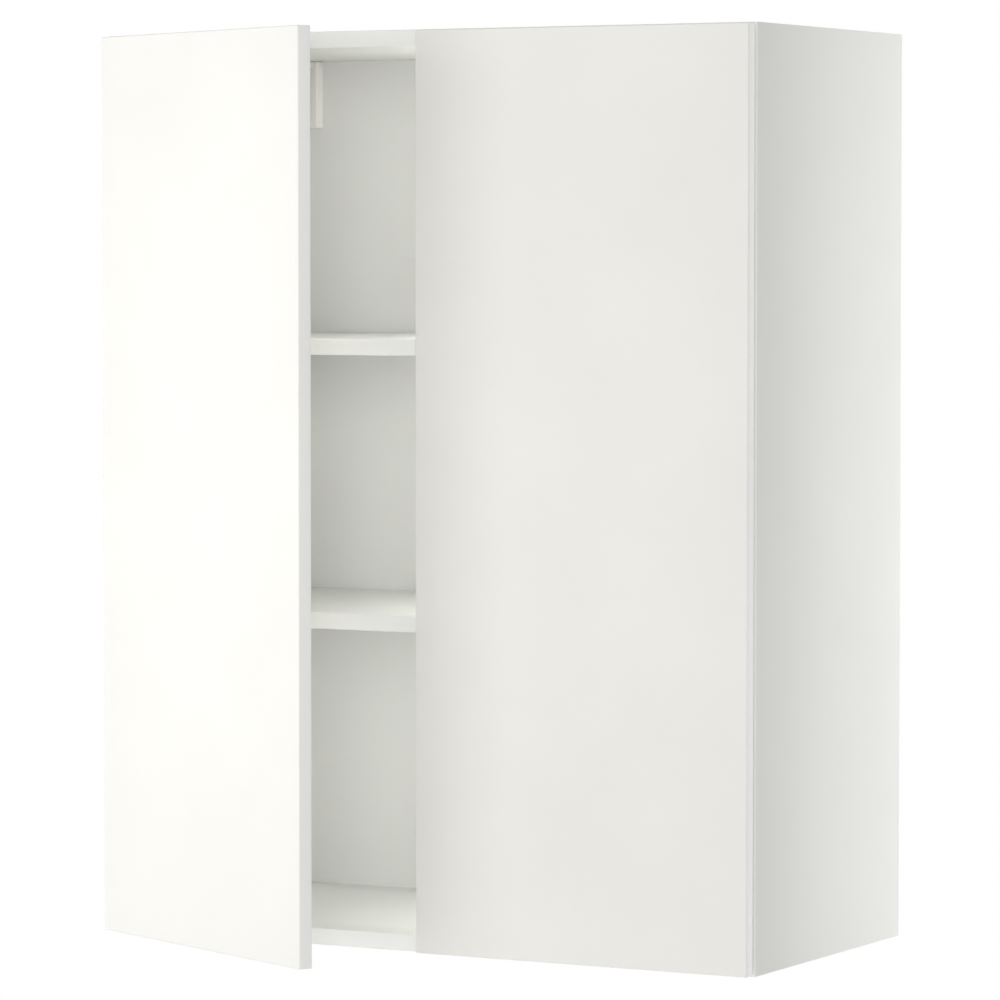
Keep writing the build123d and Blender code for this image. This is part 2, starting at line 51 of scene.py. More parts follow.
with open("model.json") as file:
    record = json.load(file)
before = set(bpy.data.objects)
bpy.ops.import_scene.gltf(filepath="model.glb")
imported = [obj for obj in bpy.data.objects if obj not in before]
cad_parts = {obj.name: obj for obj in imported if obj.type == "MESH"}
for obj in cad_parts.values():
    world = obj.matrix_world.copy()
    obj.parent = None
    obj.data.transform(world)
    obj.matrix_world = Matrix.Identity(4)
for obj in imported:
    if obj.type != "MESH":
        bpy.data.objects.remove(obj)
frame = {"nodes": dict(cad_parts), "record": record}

import json
import math

import bmesh
import bpy
from bpy.props import FloatProperty, FloatVectorProperty, IntProperty, PointerProperty
from mathutils import Matrix, Vector

cad_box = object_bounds()
record = frame["record"]
nodes = frame["nodes"]

SIDES = ("left", "right")
BOARD_SLOT = "melamine_board"
DOOR_SLOT = "door_board"
BAND_SLOT = "edge_banding"
BACK_SLOT = "hardboard"
PLASTIC_SLOT = "white_plastic"
OVERSHOOT = 0.001  # a cutter reaches this far past the surface it starts from
TOUCH = 1e-5  # two places closer than this are the same


# ---------------------------------------------------------------- what a user would change
def length(name, description, default):
    """A length property, in metres."""
    return FloatProperty(
        name=name, description=description, default=default, unit="LENGTH", precision=5
    )


def colour(name, description, default):
    """A colour property, linear RGB."""
    return FloatVectorProperty(
        name=name, description=description, default=default, subtype="COLOR", min=0, max=1, size=3
    )


class CABINET_PG_sizes(bpy.types.PropertyGroup):
    back_radius: length("Back edge radius", "Easing of the thin back's edges", 0.0002)
    bracket_room: length("Bracket room", "Room in the back round a suspension bracket", 0.002)
    screw_bore_share: FloatProperty(
        name="Screw bore share",
        description="A bracket screw's bore radius over its head's width",
        default=0.27,
    )
    board_radius: length("Board edge radius", "Easing of the cut edges of a carcass board", 0.0004)
    band_radius: length("Band edge radius", "Rounding of the front edge bands", 0.0008)
    door_radius: length("Door edge radius", "Rounding of the doors' outer edges", 0.0011)
    row_first: length("First shelf hole", "Height of the lowest hole of each row", 0.145)
    row_pitch: length("Shelf hole pitch", "Distance between two holes of a row", 0.02)
    row_count: IntProperty(name="Shelf holes", description="Holes in each row", default=36, min=1)
    row_radius: length("Shelf hole radius", "Radius of a shelf hole", 0.0025)
    row_depth: length("Shelf hole depth", "Depth of a shelf hole", 0.012)
    row_hinge_gap: length("Row gap at a hinge", "The front row leaves this much free at a hinge", 0.03)
    bore_spare: length("Bore clearance", "A bore is this much deeper than what fills it", 0.0005)
    bore_fit: length("Bore fit", "A bore's radius over that of what fills it", 0.0001)
    bolt_bore_radius: length("Bolt bore radius", "Bore for a cam bolt's shank", 0.004)
    cup_radius: length("Cup radius", "Radius of a hinge cup", 0.0175)
    cup_screw_radius: length("Cup screw radius", "Pilot bore for a cup's screw", 0.0018)
    cover_wall: length("Cover wall", "Wall thickness of a suspension fitting's cover", 0.0016)
    cover_radius: length("Cover edge radius", "Rounding of the cover's outer edges", 0.002)
    cover_border: length("Cover border", "Width of the raised border on the cover's front", 0.0045)
    cover_step: length("Cover step", "Depth of the panel inside that border", 0.0005)
    cap_rim: length("Cap rim", "Width of the flat rim of a cam cap", 0.0012)
    cap_height: length("Cap height", "Height of a cam cap above the board", 0.0012)
    cap_dish: length("Cap dish", "Depth of the dish in a cam cap", 0.0002)
    cap_edge: length("Cap edge radius", "Rounding of a cam cap's rim", 0.0005)


class CABINET_PG_finishes(bpy.types.PropertyGroup):
    door_white: colour("Door white", "Colour of the doors' foil", (0.874, 0.865, 0.829))
    board_white: colour(
        "Board white", "Colour of the melamine on the carcass boards", (0.818, 0.822, 0.790)
    )
    band_white: colour("Band white", "Colour of the edge banding", (0.945, 0.950, 0.925))
    back_white: colour("Back white", "Colour of the lacquer inside the back", (0.798, 0.801, 0.783))
    back_brown: colour(
        "Back brown", "Colour of the raw hardboard behind the back", (0.270, 0.165, 0.092)
    )
    chip_light: colour("Light chips", "Lightest chips of the board's core", (0.560, 0.400, 0.245))
    chip_dark: colour("Dark chips", "Darkest chips of the board's core", (0.230, 0.140, 0.075))
    plastic_white: colour("Plastic white", "Colour of the covers and caps", (0.860, 0.832, 0.808))
    steel: colour("Nickel", "Colour of the nickel-plated hinges", (0.640, 0.625, 0.600))
    zinc: colour("Zinc", "Colour of zinc-plated and die-cast parts", (0.560, 0.570, 0.590))
    beech: colour("Beech", "Colour of the dowels", (0.560, 0.370, 0.210))
    bumper: colour("Bumper", "Colour of the soft door stops", (0.620, 0.630, 0.630))


class CABINET_PG_stage(bpy.types.PropertyGroup):
    lens: FloatProperty(name="Lens", description="Focal length in millimetres", default=184.53)
    camera_place: FloatVectorProperty(
        name="Camera place", description="Where the camera stands",
        default=(2.7106, -5.2035, 0.7673), subtype="XYZ",
    )
    camera_yaw: FloatProperty(
        name="Camera yaw", description="Turn to the left of straight at the wall",
        default=math.radians(28.415), subtype="ANGLE",
    )
    camera_pitch: FloatProperty(
        name="Camera pitch", description="Tilt above the horizon",
        default=math.radians(-2.842), subtype="ANGLE",
    )
    floor_drop: length("Floor drop", "How far the floor lies below the cabinet", 1.6)
    floor_size: length("Floor size", "Width of the round floor", 17.6)
    sky: FloatProperty(name="Sky", description="Strength of the even white light", default=0.37)
    key_power: FloatProperty(
        name="Key power", description="Watts of the tall light far left", default=20.6
    )
    left_power: FloatProperty(
        name="Left power", description="Watts of the light at the left front", default=12.0
    )
    near_power: FloatProperty(
        name="Near power", description="Watts of the light by the left door", default=4.4
    )
    front_power: FloatProperty(
        name="Front power", description="Watts of the light at the right front", default=76.0
    )
    side_power: FloatProperty(
        name="Side power", description="Watts of the light at the right", default=1.0
    )
    rear_power: FloatProperty(
        name="Rear power", description="Watts of the strip at the right rear", default=2.3
    )
    top_power: FloatProperty(name="Top power", description="Watts of the light above", default=21.0)
    low_power: FloatProperty(name="Low power", description="Watts of the light below", default=3.3)
    inner_power: FloatProperty(
        name="Inner power", description="Watts of the light in each compartment", default=1.42
    )


# ---------------------------------------------------------------- modelling helpers
def clear_selection():
    """Object mode with nothing selected."""
    if bpy.context.mode != "OBJECT":
        bpy.ops.object.mode_set(mode="OBJECT")
    bpy.ops.object.select_all(action="DESELECT")


def pick(obj):
    """Only this object selected and active."""
    clear_selection()
    obj.select_set(True)
    bpy.context.view_layer.objects.active = obj


def settle(obj):
    """Puts the object's place into its mesh, with the object at the origin."""
    pick(obj)
    bpy.ops.object.transform_apply(location=True, rotation=True, scale=True)
    return obj


def solid_boxes(node, matrix=None):
    """Lowest and highest corner of each separate solid of a CAD node, after an optional move."""
    mesh = bmesh.new()
    mesh.from_mesh(nodes[node].data)
    bmesh.ops.remove_doubles(mesh, verts=mesh.verts, dist=1e-6)
    mesh.verts.ensure_lookup_table()
    seen = set()
    boxes = []
    for start in mesh.verts:
        if start.index in seen:
            continue
        queue = [start]
        seen.add(start.index)
        points = []
        while queue:
            vert = queue.pop()
            points.append(matrix @ vert.co if matrix else vert.co.copy())
            for edge in vert.link_edges:
                other = edge.other_vert(vert)
                if other.index not in seen:
                    seen.add(other.index)
                    queue.append(other)
        low = Vector([min(p[axis] for p in points) for axis in range(3)])
        high = Vector([max(p[axis] for p in points) for axis in range(3)])
        boxes.append((low, high))
    mesh.free()
    return sorted(boxes, key=lambda box: (round(box[0].x, 4), round(box[0].y, 4), box[0].z))


def add_block(name, low, high):
    """A cube primitive between two corners, settled."""
    clear_selection()
    low, high = Vector(low), Vector(high)
    bpy.ops.mesh.primitive_cube_add(size=1, location=(low + high) / 2)
    block = bpy.context.object
    block.name = name
    block.scale = high - low
    return settle(block)


def add_bar(axis, start, end, centre, radius, vertices=32):
    """A cylinder primitive along an axis (0, 1 or 2) from start to end, settled."""
    clear_selection()
    place = Vector(centre)
    place[axis] = (start + end) / 2
    turn = ((0, math.pi / 2, 0), (math.pi / 2, 0, 0), (0, 0, 0))[axis]
    bpy.ops.mesh.primitive_cylinder_add(
        vertices=vertices, radius=radius, depth=abs(end - start), location=place, rotation=turn
    )
    return settle(bpy.context.object)


def round_all(obj, radius, segments):
    """Bevels every edge of a board."""
    pick(obj)
    bpy.ops.object.mode_set(mode="EDIT")
    bpy.ops.mesh.select_all(action="SELECT")
    bpy.ops.mesh.bevel(offset=radius, segments=segments, profile=0.5, affect="EDGES")
    bpy.ops.object.mode_set(mode="OBJECT")


def select_edges(obj, wanted):
    """Edit mode with the edges selected whose two ends the test accepts."""
    pick(obj)
    bpy.ops.object.mode_set(mode="EDIT")
    bpy.ops.mesh.select_mode(type="EDGE")
    bpy.ops.mesh.select_all(action="DESELECT")
    mesh = bmesh.from_edit_mesh(obj.data)
    for edge in mesh.edges:
        edge.select = wanted(edge.verts[0].co, edge.verts[1].co)
    mesh.select_flush_mode()
    bmesh.update_edit_mesh(obj.data)


def select_faces(obj, wanted):
    """Edit mode with the faces selected whose centre and normal the test accepts."""
    pick(obj)
    bpy.ops.object.mode_set(mode="EDIT")
    bpy.ops.mesh.select_mode(type="FACE")
    bpy.ops.mesh.select_all(action="DESELECT")
    mesh = bmesh.from_edit_mesh(obj.data)
    for face in mesh.faces:
        face.select_set(wanted(face.calc_center_median(), face.normal))
    bmesh.update_edit_mesh(obj.data)


def cut(board, cutters):
    """Takes the cutters out of the board."""
    clear_selection()
    for cutter in cutters:
        cutter.select_set(True)
    bpy.context.view_layer.objects.active = cutters[0]
    if len(cutters) > 1:
        bpy.ops.object.join()
    cutter = bpy.context.object
    pick(board)
    bores = board.modifiers.new("bores", "BOOLEAN")
    bores.operation = "DIFFERENCE"
    bores.solver = "EXACT"
    bores.use_self = True
    bores.object = cutter
    bpy.ops.object.modifier_apply(modifier=bores.name)
    bpy.data.objects.remove(cutter, do_unlink=True)


def smooth(obj, angle=35):
    """Smooth shading across soft edges only."""
    pick(obj)
    bpy.ops.object.shade_smooth_by_angle(angle=math.radians(angle))


def face_core(board, low, high, skin, core, depth=0.0006):
    """Skin on the outside of a board, and its core wherever a cut goes below the surface."""
    board.data.materials.clear()
    board.data.materials.append(skin)
    board.data.materials.append(core)
    middle = (Vector(low) + Vector(high)) / 2
    half = (Vector(high) - Vector(low)) / 2
    for face in board.data.polygons:
        below = min(half[axis] - abs(face.center[axis] - middle[axis]) for axis in range(3))
        face.material_index = 1 if below > depth else 0


def finish_piece(piece, body, slot, *replaced):
    """Hangs the piece on the body it rides on and hides the CAD nodes it stands for. The slot argument is not
    used.
    """
    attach(piece, body)
    for node in replaced:
        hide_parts(node)


def paint(piece, material):
    """One material all over a piece."""
    piece.data.materials.clear()
    piece.data.materials.append(material)


# ---------------------------------------------------------------- materials
class Finish:
    """A material under construction: a few calls wire its texture nodes."""

    def __init__(self, name, base, roughness, metallic=0.0):
        self.material = bpy.data.materials.new(name)
        self.material.use_nodes = True
        self.tree = self.material.node_tree
        self.shader = self.tree.nodes["Principled BSDF"]
        self.shader.inputs["Base Color"].default_value = (*base, 1)
        self.shader.inputs["Roughness"].default_value = roughness
        self.shader.inputs["Metallic"].default_value = metallic
        self.place = self.tree.nodes.new("ShaderNodeTexCoord").outputs["Object"]

    def stretched(self, scale):
        """Object coordinates scaled by axis."""
        mapping = self.tree.nodes.new("ShaderNodeMapping")
        mapping.inputs["Scale"].default_value = scale
        self.tree.links.new(self.place, mapping.inputs["Vector"])
        return mapping.outputs["Vector"]

    def noise(self, scale, detail=3.0, vector=None, roughness=0.5):
        """A noise texture's value."""
        node = self.tree.nodes.new("ShaderNodeTexNoise")
        node.inputs["Scale"].default_value = scale
        node.inputs["Detail"].default_value = detail
        node.inputs["Roughness"].default_value = roughness
        self.tree.links.new(vector or self.place, node.inputs["Vector"])
        return node.outputs["Fac"]

    def cells(self, scale, vector=None):
        """A Voronoi texture's random value per cell."""
        node = self.tree.nodes.new("ShaderNodeTexVoronoi")
        node.inputs["Scale"].default_value = scale
        self.tree.links.new(vector or self.place, node.inputs["Vector"])
        return node.outputs["Color"]

    def ramp(self, value, stops):
        """A colour ramp over a value."""
        node = self.tree.nodes.new("ShaderNodeValToRGB")
        while len(node.color_ramp.elements) < len(stops):
            node.color_ramp.elements.new(0.5)
        for element, (position, rgb) in zip(node.color_ramp.elements, stops):
            element.position = position
            element.color = (*rgb, 1)
        self.tree.links.new(value, node.inputs["Fac"])
        return node.outputs["Color"]

    def spread(self, value, low, high):
        """Maps a 0 to 1 value onto a range."""
        node = self.tree.nodes.new("ShaderNodeMapRange")
        node.inputs["To Min"].default_value = low
        node.inputs["To Max"].default_value = high
        self.tree.links.new(value, node.inputs["Value"])
        return node.outputs["Result"]

    def set_colour(self, output):
        self.tree.links.new(output, self.shader.inputs["Base Color"])

    def set_roughness(self, output):
        self.tree.links.new(output, self.shader.inputs["Roughness"])

    def bump(self, *layers):
        """Stacks bumps, each a (height output, strength, distance) triple."""
        normal = None
        for height, strength, distance in layers:
            node = self.tree.nodes.new("ShaderNodeBump")
            node.inputs["Strength"].default_value = strength
            node.inputs["Distance"].default_value = distance
            self.tree.links.new(height, node.inputs["Height"])
            if normal:
                self.tree.links.new(normal, node.inputs["Normal"])
            normal = node.outputs["Normal"]
        self.tree.links.new(normal, self.shader.inputs["Normal"])


def shade(rgb, factor):
    """A colour made lighter or darker."""
    return tuple(min(1.0, channel * factor) for channel in rgb)


def coated_board(name, white, roughness, grain):
    """A white coated board: faint mottling and the fine pearl texture of its foil."""
    finish = Finish(name, white, roughness)
    mottle = finish.noise(7.0, detail=4.0)
    finish.set_colour(finish.ramp(mottle, ((0.3, shade(white, 0.985)), (0.7, shade(white, 1.012)))))
    sheen = finish.noise(240.0, detail=2.0)
    finish.set_roughness(finish.spread(sheen, roughness - 0.05, roughness + 0.05))
    pearl = finish.noise(1500.0, detail=2.0)
    wave = finish.noise(55.0, detail=1.0)
    finish.bump((pearl, grain, 0.00008), (wave, 0.10, 0.0002))
    finish.shader.inputs["Specular IOR Level"].default_value = 0.45
    return finish.material


def particle_core(name, light, dark):
    """Pressed chips, as they show in a bore or a groove."""
    finish = Finish(name, light, 0.85)
    chips = finish.cells(620.0, finish.stretched((1.0, 0.6, 1.5)))
    middle = tuple((a + b) / 2 for a, b in zip(light, dark))
    finish.set_colour(finish.ramp(chips, ((0.15, dark), (0.5, middle), (0.85, light))))
    finish.bump((chips, 0.6, 0.0004), (finish.noise(2600.0), 0.4, 0.0002))
    return finish.material


def hardboard_rear(name, brown):
    """Raw hardboard with its felted fibres."""
    finish = Finish(name, brown, 0.8)
    fibre = finish.noise(900.0, detail=6.0, vector=finish.stretched((1.0, 1.0, 0.35)), roughness=0.7)
    finish.set_colour(finish.ramp(fibre, ((0.3, shade(brown, 0.72)), (0.7, shade(brown, 1.3)))))
    finish.bump((fibre, 0.5, 0.0003))
    return finish.material


def plated_metal(name, tint, roughness, brushed=(1.0, 1.0, 1.0)):
    """Plated steel: fine lines along one axis, faint clouding and small marks."""
    finish = Finish(name, tint, roughness, metallic=1.0)
    cloud = finish.noise(45.0, detail=5.0)
    finish.set_colour(finish.ramp(cloud, ((0.3, shade(tint, 0.9)), (0.7, shade(tint, 1.08)))))
    lines = finish.noise(1900.0, detail=2.0, vector=finish.stretched(brushed))
    finish.set_roughness(finish.spread(lines, roughness - 0.05, roughness + 0.09))
    finish.bump((lines, 0.07, 0.00005))
    return finish.material


def cast_zinc(name, tint):
    """Die-cast zinc: dull and slightly grainy."""
    finish = Finish(name, tint, 0.5, metallic=0.95)
    grain = finish.noise(1800.0, detail=4.0)
    finish.set_colour(finish.ramp(grain, ((0.3, shade(tint, 0.82)), (0.7, shade(tint, 1.1)))))
    finish.set_roughness(finish.spread(grain, 0.4, 0.62))
    finish.bump((grain, 0.4, 0.00015))
    return finish.material


def moulded_plastic(name, white):
    """Matt moulded plastic with a fine spark-eroded texture."""
    finish = Finish(name, white, 0.5)
    flow = finish.noise(16.0, detail=2.0)
    finish.set_colour(finish.ramp(flow, ((0.3, shade(white, 0.985)), (0.7, shade(white, 1.01)))))
    spark = finish.noise(2200.0, detail=2.0)
    finish.set_roughness(finish.spread(spark, 0.42, 0.58))
    finish.bump((spark, 0.35, 0.0001))
    finish.shader.inputs["Subsurface Weight"].default_value = 0.06
    finish.shader.inputs["Subsurface Radius"].default_value = (0.002, 0.002, 0.002)
    return finish.material


def soft_bumper(name, tint):
    """Milky soft plastic of the door stops."""
    finish = Finish(name, tint, 0.3)
    haze = finish.noise(320.0, detail=2.0)
    finish.set_colour(finish.ramp(haze, ((0.3, shade(tint, 0.94)), (0.7, shade(tint, 1.05)))))
    finish.set_roughness(finish.spread(haze, 0.24, 0.38))
    finish.bump((finish.noise(700.0), 0.1, 0.0001))
    finish.shader.inputs["Transmission Weight"].default_value = 0.25
    return finish.material


def beech_wood(name, tint):
    """Beech with its short dark flecks along the dowel."""
    finish = Finish(name, tint, 0.65)
    grain = finish.noise(700.0, detail=5.0, vector=finish.stretched((0.12, 1.0, 1.0)))
    stops = ((0.35, shade(tint, 0.72)), (0.6, tint), (0.75, shade(tint, 1.15)))
    finish.set_colour(finish.ramp(grain, stops))
    finish.bump((grain, 0.3, 0.0002))
    return finish.material


def make_finishes():
    """Every material of the cabinet, by name."""
    tone = bpy.context.scene.cabinet_finishes
    return {
        "door": coated_board("door_foil", tone.door_white, 0.42, 0.16),
        "board": coated_board("carcass_melamine", tone.board_white, 0.48, 0.24),
        "band": coated_board("edge_banding", tone.band_white, 0.40, 0.12),
        "back": coated_board("back_lacquer", tone.back_white, 0.46, 0.20),
        "rear": hardboard_rear("back_raw_side", tone.back_brown),
        "core": particle_core("board_core", tone.chip_light, tone.chip_dark),
        "plastic": moulded_plastic("cover_plastic", tone.plastic_white),
        "hinge": plated_metal("hinge_nickel", tone.steel, 0.27, (1.0, 0.15, 1.0)),
        "screw": plated_metal("screw_zinc", tone.zinc, 0.32),
        "bracket": plated_metal("bracket_zinc", shade(tone.zinc, 1.05), 0.38, (1.0, 1.0, 0.12)),
        "cast": cast_zinc("cam_cast_zinc", tone.zinc),
        "pin": plated_metal("shelf_pin_zinc", shade(tone.zinc, 1.1), 0.3),
        "beech": beech_wood("dowel_beech", tone.beech),
        "bumper": soft_bumper("bumper_soft_plastic", tone.bumper),
    }


finishes = {}


def finish_of(kind):
    """A finish by name. All of them are made at the first call."""
    if not finishes:
        finishes.update(make_finishes())
    return finishes[kind]


# ---------------------------------------------------------------- places from the frame
def joint(name):
    """A joint of the record, by name."""
    return next(j for j in record["behaviour"]["joints"] if j["name"] == name)


def turn_about(place, axis, angle):
    """A rotation about a line."""
    there = Matrix.Translation(Vector(place))
    return there @ Matrix.Rotation(angle, 4, Vector(axis)) @ there.inverted()


def closing_move(side):
    """The move that shuts a door from where it rests."""
    door = joint(side + "_door_hinge")
    link = joint(side + "_link_pivot")
    ratio = next(c["ratio"] for c in record["behaviour"]["couplings"] if c["joint"] == link["name"])
    shut = math.radians(door["range_deg"][0])
    link_turn = turn_about(link["pos_m"], link["axis"], ratio * shut)
    return link_turn @ turn_about(door["pos_m"], door["axis"], shut)


def back_groove(low, high):
    """A cutter for the groove that holds the back, reaching from low to high in X and Z."""
    spare = bpy.context.scene.cabinet_sizes.bore_fit
    back_low, back_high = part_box("back_panel")
    return add_block(
        "groove", (low[0], back_low[1] - spare, low[1]), (high[0], back_high[1] + spare, high[1])
    )


# ---------------------------------------------------------------- operators
class CABINET_OT_side_panels(bpy.types.Operator):
    """Builds both side panels with their shelf holes, grooves and fitting bores"""

    bl_idname = "cabinet.side_panels"
    bl_label = "Side panels"

    def execute(self, context):
        for side, sign in (("left", -1), ("right", 1)):
            self.build(context.scene.cabinet_sizes, side + "_side_panel", sign)
        return {"FINISHED"}

    def bore(self, sign, inside, tip, centre, radius):
        """A blind bore from the inner face to tip."""
        start, end = inside - sign * OVERSHOOT, tip
        return add_bar(0, min(start, end), max(start, end), centre, radius)

    def build(self, sizes, node, sign):
        low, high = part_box(node)
        inside = low[0] if sign > 0 else high[0]
        board = add_block(node + "_board", low, high)
        round_all(board, sizes.board_radius, 2)
        back_low, back_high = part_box("back_panel")
        reach = (back_high[0] if sign > 0 else back_low[0]) + sign * sizes.bore_spare
        x0, x1 = sorted((inside - sign * OVERSHOOT, reach))
        z0, z1 = back_low[2] - sizes.bore_spare, back_high[2] + sizes.bore_spare
        cutters = [back_groove((x0, z0), (x1, z1))]
        cutters += self.shelf_rows(sizes, sign, inside)
        for group, radius in (
            ("dowels", None),
            ("cam_bolts", None),
            ("hinge_plate_screws", sizes.row_radius),
            ("bracket_screws", None),
        ):
            for solid_low, solid_high in solid_boxes(group):
                if (solid_low.x + solid_high.x) * sign < 0:
                    continue
                tip = solid_high.x if sign > 0 else solid_low.x
                centre = (solid_low + solid_high) / 2
                size = radius or (solid_high.z - solid_low.z) / 2 + sizes.bore_fit / 2
                if group == "bracket_screws":
                    size = (solid_high.z - solid_low.z) * sizes.screw_bore_share
                depth = tip + sign * sizes.bore_spare
                cutters.append(self.bore(sign, inside, depth, centre, size))
        cut(board, cutters)
        smooth(board)
        face_core(board, low, high, finish_of("board"), finish_of("core"))
        finish_piece(board, "carcass", BOARD_SLOT, node)

    def shelf_rows(self, sizes, sign, inside):
        """Both rows of shelf holes of one side."""
        plates = [(low.z + high.z) / 2 for low, high in solid_boxes("hinge_plates")]
        pins = solid_boxes("upper_shelf_pins")
        rows = sorted({round((low.y + high.y) / 2, 5) for low, high in pins})
        bores = []
        for index in range(sizes.row_count):
            z = sizes.row_first + index * sizes.row_pitch
            at_hinge = min(abs(z - plate) for plate in plates) < sizes.row_hinge_gap
            for y in rows:
                if y == rows[0] and at_hinge:
                    continue
                tip = inside + sign * sizes.row_depth
                bores.append(self.bore(sign, inside, tip, (0, y, z), sizes.row_radius))
        return bores


class CABINET_OT_end_panels(bpy.types.Operator):
    """Builds the top and bottom panels with their groove, cam pockets and bores"""

    bl_idname = "cabinet.end_panels"
    bl_label = "Top and bottom"

    def execute(self, context):
        sizes = context.scene.cabinet_sizes
        for node, inward in (("top_panel", -1), ("bottom_panel", 1)):
            low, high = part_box(node)
            board = add_block(node + "_board", low, high)
            round_all(board, sizes.board_radius, 2)
            inside = high[2] if inward > 0 else low[2]
            back_low, back_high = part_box("back_panel")
            edge = (back_low[2] if inward > 0 else back_high[2]) - inward * sizes.bore_spare
            z0, z1 = sorted((inside + inward * OVERSHOOT, edge))
            cutters = [back_groove((low[0] - OVERSHOOT, z0), (high[0] + OVERSHOOT, z1))]
            middle = (low[2] + high[2]) / 2
            for cam_low, cam_high in solid_boxes("cam_locks"):
                if abs((cam_low.z + cam_high.z) / 2 - middle) > high[2] - low[2]:
                    continue
                centre = (cam_low + cam_high) / 2
                radius = (cam_high.x - cam_low.x) / 2 + sizes.bore_fit
                cutters.append(add_bar(2, cam_low.z, high[2] + OVERSHOOT, centre, radius))
                end = low[0] - OVERSHOOT if centre.x < 0 else high[0] + OVERSHOOT
                bolt = (0, centre.y, middle)
                x0, x1 = sorted((centre.x, end))
                cutters.append(add_bar(0, x0, x1, bolt, sizes.bolt_bore_radius))
            for dowel_low, dowel_high in solid_boxes("dowels"):
                centre = (dowel_low + dowel_high) / 2
                if abs(centre.z - middle) > high[2] - low[2]:
                    continue
                radius = (dowel_high.z - dowel_low.z) / 2 + sizes.bore_fit / 2
                if centre.x < 0:
                    x0, x1 = low[0] - OVERSHOOT, dowel_high.x + sizes.bore_spare
                else:
                    x0, x1 = dowel_low.x - sizes.bore_spare, high[0] + OVERSHOOT
                cutters.append(add_bar(0, x0, x1, centre, radius))
            cut(board, cutters)
            smooth(board)
            face_core(board, low, high, finish_of("board"), finish_of("core"))
            finish_piece(board, "carcass", BOARD_SLOT, node)
        return {"FINISHED"}


class CABINET_OT_back(bpy.types.Operator):
    """Gives the thin back its white lacquer inside and its raw side behind"""

    bl_idname = "cabinet.back"
    bl_label = "Back"

    def execute(self, context):
        sizes = context.scene.cabinet_sizes
        low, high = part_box("back_panel")
        notches = []
        for side in SIDES:
            bracket_low, bracket_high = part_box(side + "_suspension_bracket")
            spare = sizes.bracket_room
            x0, x1 = bracket_low[0] - spare, bracket_high[0] + spare
            if side == "left":
                x0 = bracket_low[0]
            else:
                x1 = bracket_high[0]
            z0, z1 = bracket_low[2] - spare, bracket_high[2] + spare
            y0, y1 = low[1] - OVERSHOOT, high[1] + OVERSHOOT
            notches.append(add_block("notch", (x0, y0, z0), (x1, y1, z1)))
        board = add_block("back_panel_board", low, high)
        round_all(board, sizes.back_radius, 1)
        cut(board, notches)
        smooth(board)
        paint(board, finish_of("back"))
        board.data.materials.append(finish_of("rear"))
        for face in board.data.polygons:
            face.material_index = 0 if face.normal.y < -0.9 else 1
        finish_piece(board, "carcass", BACK_SLOT, "back_panel")
        return {"FINISHED"}


class CABINET_OT_shelves(bpy.types.Operator):
    """Builds the loose shelves"""

    bl_idname = "cabinet.shelves"
    bl_label = "Shelves"

    def execute(self, context):
        sizes = context.scene.cabinet_sizes
        for node in ("upper_shelf", "lower_shelf"):
            low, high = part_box(node)
            board = add_block(node + "_board", low, high)
            round_all(board, sizes.board_radius, 2)
            smooth(board)
            paint(board, finish_of("board"))
            finish_piece(board, "carcass", BOARD_SLOT, node)
        return {"FINISHED"}


class CABINET_OT_edge_bands(bpy.types.Operator):
    """Builds the banding on the front edges, rounded where it faces forward"""

    bl_idname = "cabinet.edge_bands"
    bl_label = "Edge bands"

    def execute(self, context):
        sizes = context.scene.cabinet_sizes
        groups = ("side_edge_bands", "top_edge_band", "bottom_edge_band")
        for node in groups + ("upper_shelf_edge_band", "lower_shelf_edge_band"):
            bands = []
            for low, high in solid_boxes(node):
                band = add_block(node + "_strip", low, high)
                front = low.y + TOUCH
                select_edges(band, lambda a, b: a.y < front and b.y < front)
                bpy.ops.mesh.bevel(offset=sizes.band_radius, segments=4, profile=0.5, affect="EDGES")
                bpy.ops.object.mode_set(mode="OBJECT")
                bands.append(band)
            clear_selection()
            for band in bands:
                band.select_set(True)
            bpy.context.view_layer.objects.active = bands[0]
            if len(bands) > 1:
                bpy.ops.object.join()
            strip = bpy.context.object
            smooth(strip)
            paint(strip, finish_of("band"))
            finish_piece(strip, "carcass", BAND_SLOT, node)
        return {"FINISHED"}


class CABINET_OT_doors(bpy.types.Operator):
    """Builds both slab doors with rounded edges and their hinge bores"""

    bl_idname = "cabinet.doors"
    bl_label = "Doors"

    def execute(self, context):
        sizes = context.scene.cabinet_sizes
        for side in SIDES:
            shut = closing_move(side)
            node = side + "_door_panel"
            low, high = solid_boxes(node, shut)[0]
            door = add_block(node + "_slab", low, high)
            round_all(door, sizes.door_radius, 4)
            cutters = []
            for cup_low, cup_high in solid_boxes(side + "_hinge_cups", shut):
                outer = cup_low.x + sizes.cup_radius if side == "left" else cup_high.x - sizes.cup_radius
                centre = (outer, 0, (cup_low.z + cup_high.z) / 2)
                floor = cup_low.y - sizes.bore_spare
                radius = sizes.cup_radius + sizes.bore_fit
                cutters.append(add_bar(1, floor, high.y + OVERSHOOT, centre, radius, vertices=64))
            for screw_low, screw_high in solid_boxes(side + "_cup_screws", shut):
                centre = (screw_low + screw_high) / 2
                floor = screw_low.y - sizes.bore_spare
                radius = sizes.cup_screw_radius
                cutters.append(add_bar(1, floor, high.y + OVERSHOOT, centre, radius, vertices=24))
            cut(door, cutters)
            smooth(door)
            face_core(door, low, high, finish_of("door"), finish_of("core"))
            door.data.materials.append(finish_of("band"))
            for face in door.data.polygons:
                if face.material_index == 0 and abs(face.normal.y) < 0.3:
                    face.material_index = 2
            door.matrix_world = shut.inverted()
            settle(door)
            finish_piece(door, side + "_door", DOOR_SLOT, node)
        return {"FINISHED"}


